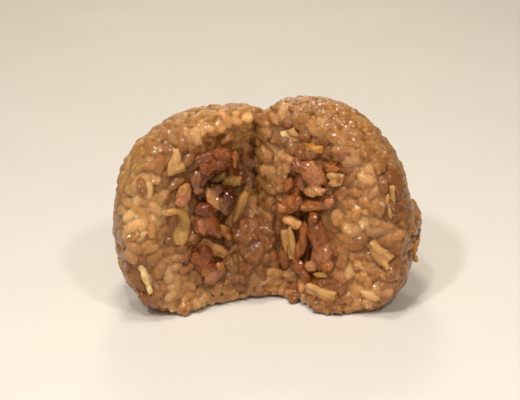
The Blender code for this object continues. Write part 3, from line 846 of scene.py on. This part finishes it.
def colour_lobes(piece, places, colours):
    """Each point takes the colours of the lobes that it is nearest to."""
    points = values_of(piece.data.vertices, "co", 3)
    wander = np.array([noise.noise_vector(Vector(point) / BORDER_WAVE) for point in points])
    points = np.column_stack((points + wander * LOBE_BORDER, np.ones(len(points))))
    shares = []
    for place in places:
        away = np.linalg.norm((points @ np.array(place.inverted()).T)[:, :3], axis=1)
        shares.append(np.exp(-away / LOBE_REACH))
    shares = np.array(shares) / np.sum(shares, axis=0)
    keep_values(piece, "flesh", "FLOAT_COLOR", "color", shares.T @ np.array(colours))


def stewed_piece(node, lobes, tones, voxel, swollen, stands_out, roughness, strands):
    """One piece of filling with its lobes, strands, colours and wet film. Sizes are in millimetres."""
    places = lobe_places(node, lobes, stands_out)
    piece = lobed_piece(node, places, voxel, swollen, roughness)
    for depth, width, stretch in strands:
        raise_strands(piece, depth, width, stretch)
    colour_lobes(piece, places, [linear(tones[kind]) for *_, kind in lobes])
    write_fibres(piece)
    lay_film(piece)
    return piece


def fibrous_material(name, slenderness, width, detail, roughness, drawn, stain):
    """A material with fibres along the piece, whose slenderness is their width over their length.

    They are drawn in a stain: drawn is the range of their noise that takes it, and its share at
    most. Returns the material, its shader, the place on the object, the fibres and the colour.
    """
    material, shader = new_material(name)
    place = add_node(material, "ShaderNodeTexCoord").outputs["Object"]
    flesh = add_node(material, "ShaderNodeAttribute", {"attribute_name": "flesh"}).outputs["Color"]
    fibre = add_node(material, "ShaderNodeAttribute", {"attribute_name": "fibre"}).outputs["Vector"]
    along = add_node(material, "ShaderNodeMapping", Vector=fibre, Scale=(slenderness, 1.0, 1.0)).outputs[0]
    fibres = add_node(material, "ShaderNodeTexNoise", Vector=along, Scale=1.0 / width, Detail=detail,
                      Roughness=roughness).outputs["Fac"]
    lowest, highest, share = drawn
    lines = add_node(material, "ShaderNodeMapRange", Value=fibres, _1=lowest, _2=highest, _4=share)
    colour = add_node(material, "ShaderNodeMix", TINTED, _0=lines.outputs[0], _6=flesh, _7=linear(stain))
    return material, shader, place, fibres, colour.outputs[2]


# Meat stewed in soy sauce: red-brown, nearly opaque, in coarse bundles, under a wet film of fat.
stewed_pork, shader, place, bundles, colour = fibrous_material(
    "stewed_pork", slenderness=0.22, width=PORK_FIBRE, detail=5.0, roughness=0.62,
    drawn=(0.36, 0.66, 0.7), stain="#caa486")
stains = add_node(stewed_pork, "ShaderNodeTexNoise", Vector=place, Scale=1.0 / PORK_STAIN, Detail=2.0)
stained = add_node(stewed_pork, "ShaderNodeMapRange", Value=stains.outputs["Fac"], _1=0.52, _2=0.72,
                   _4=0.45)
colour = add_node(stewed_pork, "ShaderNodeMix", BLENDED, _0=stained.outputs[0], _6=colour,
                  _7=linear("#5d2c14")).outputs[2]
wetter = add_node(stewed_pork, "ShaderNodeTexNoise", Vector=place, Scale=1.0 / PORK_WETTER, Detail=2.0)
gloss = add_node(stewed_pork, "ShaderNodeMapRange", Value=wetter.outputs["Fac"], _1=0.40, _2=0.62, _3=0.16,
                 _4=0.42)
relief = add_node(stewed_pork, "ShaderNodeBump", Strength=0.6, Distance=0.22 * MM, Height=bundles)
wire(stewed_pork, shader, Base_Color=colour, Roughness=gloss.outputs[0], Normal=relief.outputs[0],
     IOR=1.40, Specular_IOR_Level=0.15, Subsurface_Weight=0.35, Subsurface_Radius=(1.0, 0.30, 0.10),
     Subsurface_Scale=1.1 * MM, Coat_Weight=1.0, Coat_Roughness=0.09, Coat_IOR=1.44,
     Coat_Normal=film_way(stewed_pork, place, PORK_FILM))

for node, lobes in PORK.items():
    piece = stewed_piece(node, lobes, MEAT, PORK_VOXEL, swollen=-0.4, stands_out=1.5, roughness=0.38,
                         strands=PORK_STRANDS)
    finish(piece, node, stewed_pork)

# ---------------------------------------------------------------------------------------------
# Boiled bamboo shoot, knife-cut into short strips and cubes. It is firm and cream-coloured, with
# fine straight fibres along the strip, and takes up the sauce where it isn't freshly cut. Its
# ribs and cut faces are given as the lobes of the pork are.
SHOOT = {
    "fresh": "#e2c68c",
    "cream": "#cda268",
    "cut": "#bf9355",
    "pale": "#b5874f",
    "olive": "#92662e",
    "soaked": "#965f2a",
}
BAMBOO = {
    "bamboo_wedge": ((0.0, 0.6, 4.2, 1.6, 84, "cream"), (0.2, -2.0, 2.8, 1.8, 5, "cut")),
    "bamboo_long_left": ((0.7, 0.5, 6.5, 1.9, 66, "olive"), (0.0, 0.3, 5.1, 0.6, 67, "cut"),
                         (2.2, 2.4, 3.1, 0.8, 72, "pale")),
    "bamboo_cube_left": ((-0.1, 0.5, 2.2, 1.9, -30, "soaked"), (-1.1, 1.8, 1.4, 1.0, 0, "cut"),
                         (1.3, -2.0, 1.5, 1.2, -50, "soaked")),
    "bamboo_low_left": ((-1.6, -0.2, 4.1, 1.6, -50, "soaked"), (1.8, -0.8, 3.6, 1.4, -45, "pale")),
    "bamboo_rim_left": ((-0.6, 0.5, 3.1, 1.3, -70, "fresh"), (0.4, -3.7, 2.0, 1.0, -80, "fresh")),
    "bamboo_high_right": ((-1.7, -0.3, 2.2, 1.7, -30, "fresh"), (-3.1, -2.9, 1.4, 1.0, -60, "fresh"),
                          (1.0, 1.0, 2.4, 1.2, -20, "pale")),
    "bamboo_cube_right": ((-1.5, 1.0, 2.0, 1.4, 15, "cut"), (-0.8, -1.8, 2.0, 1.1, 5, "pale"),
                          (0.9, 0.4, 1.5, 0.5, 80, "soaked")),
    "bamboo_long_right": ((1.2, 1.4, 5.8, 1.4, -82, "cut"), (-1.2, 1.2, 4.4, 1.1, -82, "pale")),
    "bamboo_foot_right": ((0.1, 0.9, 4.4, 1.4, -25, "cut"), (-3.0, 2.0, 1.9, 1.2, -20, "cream"),
                          (1.1, -1.0, 2.7, 0.7, -15, "soaked")),
    "bamboo_side_right": ((-0.4, -1.6, 4.1, 1.9, -50, "pale"), (-0.8, 1.3, 3.1, 0.9, -42, "cut"),
                          (2.3, -3.9, 1.7, 1.0, -40, "cut")),
    "bamboo_hook_right": ((-0.8, 0.6, 2.7, 0.9, 80, "cut"), (0.2, -3.6, 2.4, 0.7, -80, "pale")),
}
BAMBOO_VOXEL = 0.27 * MM
BAMBOO_STRANDS = ((0.35, 3.0, 1.5), (0.25, 0.9, 5.0))
BAMBOO_FIBRE = 0.45 * MM
BAMBOO_STAIN = 3.5 * MM
BAMBOO_WETTER = 1.6 * MM
BAMBOO_FILM = 0.75 * MM

# Its fibres are finer than half a millimetre, and are drawn that coarse so that they show. It is a
# little less wet than the meat, and light goes into it by about a millimetre.
boiled_bamboo, shader, place, threads, colour = fibrous_material(
    "boiled_bamboo_shoot", slenderness=0.10, width=BAMBOO_FIBRE, detail=4.0, roughness=0.6,
    drawn=(0.38, 0.64, 0.4), stain="#d2ae82")
stains = add_node(boiled_bamboo, "ShaderNodeTexNoise", Vector=place, Scale=1.0 / BAMBOO_STAIN, Detail=2.0)
stained = add_node(boiled_bamboo, "ShaderNodeMapRange", Value=stains.outputs["Fac"], _1=0.5, _2=0.75,
                   _4=0.6)
colour = add_node(boiled_bamboo, "ShaderNodeMix", BLENDED, _0=stained.outputs[0], _6=colour,
                  _7=linear("#a8703a")).outputs[2]
wetter = add_node(boiled_bamboo, "ShaderNodeTexNoise", Vector=place, Scale=1.0 / BAMBOO_WETTER, Detail=2.0)
gloss = add_node(boiled_bamboo, "ShaderNodeMapRange", Value=wetter.outputs["Fac"], _1=0.4, _2=0.65, _3=0.22,
                 _4=0.48)
relief = add_node(boiled_bamboo, "ShaderNodeBump", Strength=0.45, Distance=0.15 * MM, Height=threads)
wire(boiled_bamboo, shader, Base_Color=colour, Roughness=gloss.outputs[0], Normal=relief.outputs[0],
     IOR=1.42, Specular_IOR_Level=0.2, Subsurface_Weight=0.5, Subsurface_Radius=(1.0, 0.60, 0.24),
     Subsurface_Scale=1.2 * MM, Coat_Weight=0.8, Coat_Roughness=0.16, Coat_IOR=1.40,
     Coat_Normal=film_way(boiled_bamboo, place, BAMBOO_FILM))

for node, lobes in BAMBOO.items():
    piece = stewed_piece(node, lobes, SHOOT, BAMBOO_VOXEL, swollen=-0.1, stands_out=0.5, roughness=0.15,
                         strands=BAMBOO_STRANDS)
    finish(piece, node, boiled_bamboo)

# ---------------------------------------------------------------------------------------------
# Leek, stewed until it is limp: thin skins that cling to the rice, yellow to olive, with veins
# along them. They are so soft and wet that the light shines through their edges. Their folds are
# given as the lobes of the pork are.
LEAF = {
    "yellow": "#b68a4a",
    "gold": "#bc8238",
    "olive": "#946e34",
    "deep": "#80582a",
}
LEEK = {
    "leek_stub": ((-4.3, 2.2, 3.0, 1.5, 22, "olive"), (1.2, -0.4, 2.4, 1.5, 24, "yellow"),
                  (-1.5, -2.2, 1.5, 0.4, -10, "gold")),
    "leek_arch": ((-3.2, 5.6, 3.6, 1.3, -6, "yellow"), (0.4, 4.2, 2.8, 1.6, -45, "yellow"),
                  (1.3, 0.6, 3.6, 1.8, -85, "olive"), (0.6, -3.9, 3.4, 1.9, -110, "yellow")),
    "leek_skin_left": ((-1.2, 0.2, 3.4, 1.5, 50, "deep"), (-0.2, 4.1, 2.7, 1.1, -70, "deep"),
                       (-3.6, -3.1, 2.0, 1.0, 30, "olive")),
    "leek_skin_right": ((-2.3, -2.1, 2.4, 1.4, 20, "yellow"), (1.1, -0.2, 2.0, 1.2, -30, "gold")),
    "leek_nub_right": ((-0.6, 0.2, 2.2, 1.0, 0, "yellow"),),
    "leek_flake_right": ((0.3, 1.3, 2.4, 1.3, -80, "gold"), (0.9, -2.6, 1.7, 1.0, -70, "yellow")),
}
LEEK_VOXEL = 0.25 * MM
LEEK_STRANDS = ((0.70, 3.0, 1.5), (0.25, 1.0, 5.0))
LEEK_VEIN = 0.55 * MM
LEEK_WETTER = 2.0 * MM
LEEK_FILM = 0.75 * MM

stewed_leek, shader, place, veins, colour = fibrous_material(
    "stewed_leek", slenderness=0.08, width=LEEK_VEIN, detail=3.0, roughness=0.55,
    drawn=(0.40, 0.62, 0.5), stain="#d8b982")
wetter = add_node(stewed_leek, "ShaderNodeTexNoise", Vector=place, Scale=1.0 / LEEK_WETTER, Detail=2.0)
gloss = add_node(stewed_leek, "ShaderNodeMapRange", Value=wetter.outputs["Fac"], _1=0.4, _2=0.65, _3=0.14,
                 _4=0.36)
relief = add_node(stewed_leek, "ShaderNodeBump", Strength=0.5, Distance=0.15 * MM, Height=veins)
wire(stewed_leek, shader, Base_Color=colour, Roughness=gloss.outputs[0], Normal=relief.outputs[0],
     IOR=1.40, Specular_IOR_Level=0.2, Subsurface_Weight=0.7, Subsurface_Radius=(1.0, 0.70, 0.25),
     Subsurface_Scale=1.6 * MM, Coat_Weight=0.9, Coat_Roughness=0.15, Coat_IOR=1.40,
     Coat_Normal=film_way(stewed_leek, place, LEEK_FILM))

for node, lobes in LEEK.items():
    piece = stewed_piece(node, lobes, LEAF, LEEK_VOXEL, swollen=-0.2, stands_out=0.4, roughness=0.25,
                         strands=LEEK_STRANDS)
    finish(piece, node, stewed_leek)
